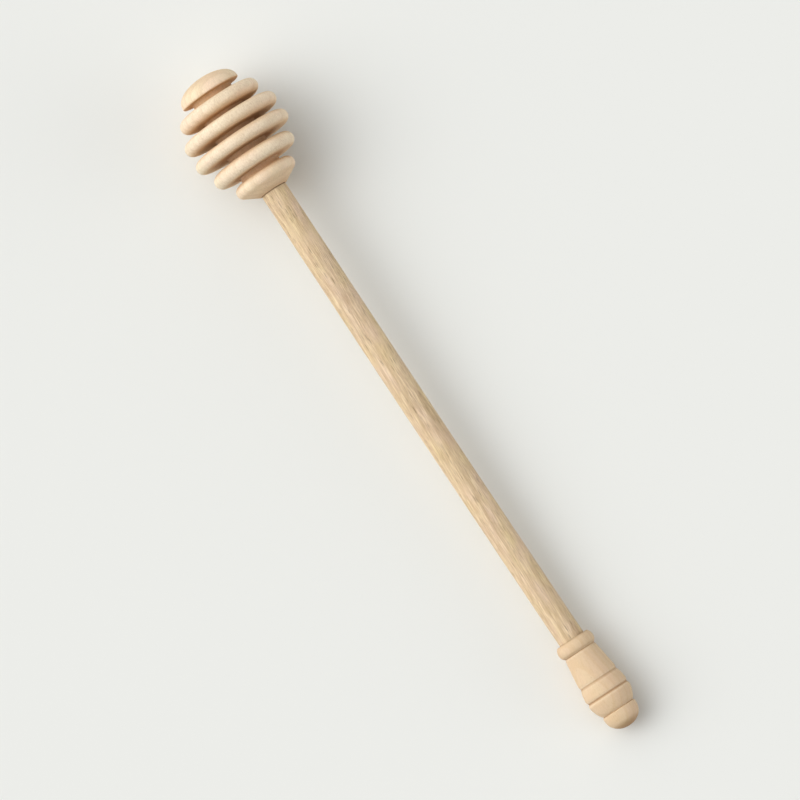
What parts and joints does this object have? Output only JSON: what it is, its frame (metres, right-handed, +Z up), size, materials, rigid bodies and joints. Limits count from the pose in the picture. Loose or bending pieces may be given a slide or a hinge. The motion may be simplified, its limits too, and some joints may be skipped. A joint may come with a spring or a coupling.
{
  "type": "honey dipper",
  "caption": "Turned wooden honey dipper: a grooved beehive head that holds honey, glued on a slim dowel handle with a beaded end knob.",
  "frame": {"origin": "bottom centre of the bounding box of the dipper as it rests on a table, on one disc of the head and the beads of the knob", "axes": "+X along the table from the knob to the head, +Z up, +Y to the left of +X; the dipper's own axis rises 2.6 degrees from the knob to the head"},
  "size_m": [0.1782, 0.0248, 0.0249],
  "materials": {
    "head_wood": "sanded bare hardwood, pale cream, fine straight grain, slightly fuzzy in the grooves",
    "dowel_wood": "sanded bare dowel stock, yellower, with short open grain streaks along its length",
    "knob_wood": "sanded bare hardwood, warm pale tan, fine straight grain, darker end grain on the button"
  },
  "bodies": {
    "root": {"dipper_head": "head_wood", "handle_dowel": "dowel_wood", "end_knob": "knob_wood"}
  },
  "joints": []
}
